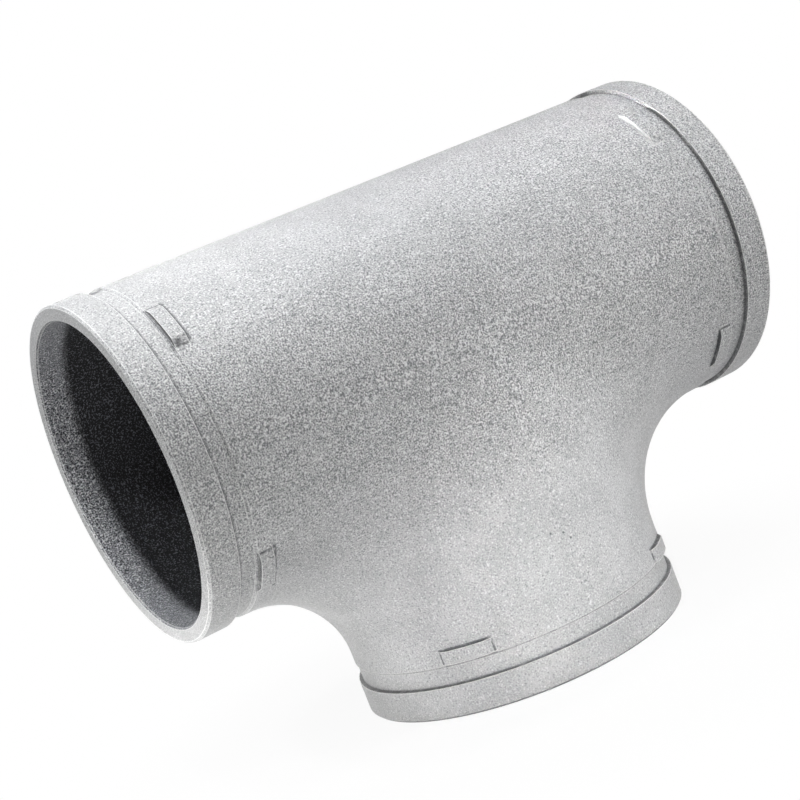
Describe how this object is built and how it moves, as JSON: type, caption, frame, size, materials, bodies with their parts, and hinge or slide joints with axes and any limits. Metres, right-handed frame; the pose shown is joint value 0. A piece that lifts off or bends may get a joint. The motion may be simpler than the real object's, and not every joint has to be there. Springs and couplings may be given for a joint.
{
  "type": "pipe tee",
  "caption": "Cast equal pipe tee with grooved collar ends, a smooth swept crotch and raised lugs beside each groove.",
  "frame": {"origin": "centre of the branch end face, which the tee stands on", "axes": "+X along the run, +Z from the branch end face up to the run, +Y across"},
  "size_m": [0.3302, 0.1682, 0.2492],
  "materials": {
    "cast_body": "matt hot-dip zinc over a sand-cast skin"
  },
  "bodies": {
    "root": {"tee_body": "cast_body"}
  },
  "joints": []
}
